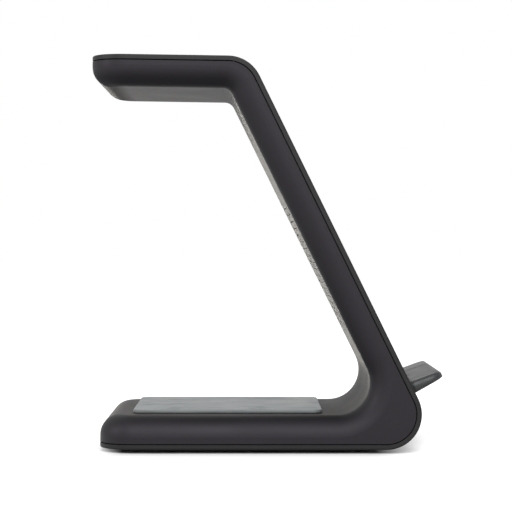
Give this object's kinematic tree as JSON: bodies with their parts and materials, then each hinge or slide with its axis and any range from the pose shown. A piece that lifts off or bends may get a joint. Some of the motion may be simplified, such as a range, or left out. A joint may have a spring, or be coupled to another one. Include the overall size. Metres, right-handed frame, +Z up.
{
  "type": "wireless charging station",
  "caption": "C-shaped desk stand that charges a phone leaning on its leg, an earbud case on its base and a watch on its arm, in a vented two-part black casing",
  "frame": {"origin": "middle of the foot mat's face on the table", "axes": "+X to the side that the phone leans on, +Y across the stand, +Z up"},
  "size_m": [0.1246, 0.08, 0.141],
  "materials": {
    "shell_black": "soft-touch matte black moulding",
    "cover_black": "satin black moulding, a little glossier than the inner tray",
    "gloss_black": "polished black moulding",
    "pad_grey": "polished mid-grey moulding",
    "foot_rubber": "matte black soft mat",
    "board_green": "lacquered circuit board",
    "ballast_grey": "grey painted steel plate",
    "bright_steel": "plated steel",
    "inner_plastic": "plain black moulding",
    "chip_black": "moulded chip body",
    "capacitor_tan": "ceramic body",
    "ferrite_grey": "sintered ferrite",
    "coil_copper": "enamelled copper winding",
    "lead_black": "soft wire jacket"
  },
  "bodies": {
    "root": {"inner_shell": "shell_black", "outer_cover": "cover_black", "phone_ledge": "gloss_black", "earbud_pad": "pad_grey", "watch_pad": "pad_grey", "foot_mat": "foot_rubber", "main_board": "board_green", "ballast_plate": "ballast_grey", "power_inlet": "bright_steel", "inlet_tongue": "inner_plastic", "controller_chip": "chip_black", "driver_chips": "chip_black", "tuning_capacitors": "capacitor_tan", "power_inductors": "ferrite_grey", "phone_coil_lower": "coil_copper", "phone_coil_upper": "coil_copper", "phone_ferrite": "ferrite_grey", "phone_coil_frame": "inner_plastic", "earbud_coil": "coil_copper", "earbud_ferrite": "ferrite_grey", "watch_coil": "coil_copper", "watch_magnet": "bright_steel", "watch_ferrite": "ferrite_grey", "watch_holder": "inner_plastic", "case_screws": "bright_steel", "board_screws": "bright_steel", "frame_screws": "bright_steel", "holder_screws": "bright_steel", "phone_lead": "lead_black", "watch_lead": "lead_black", "earbud_lead": "lead_black"}
  },
  "joints": []
}
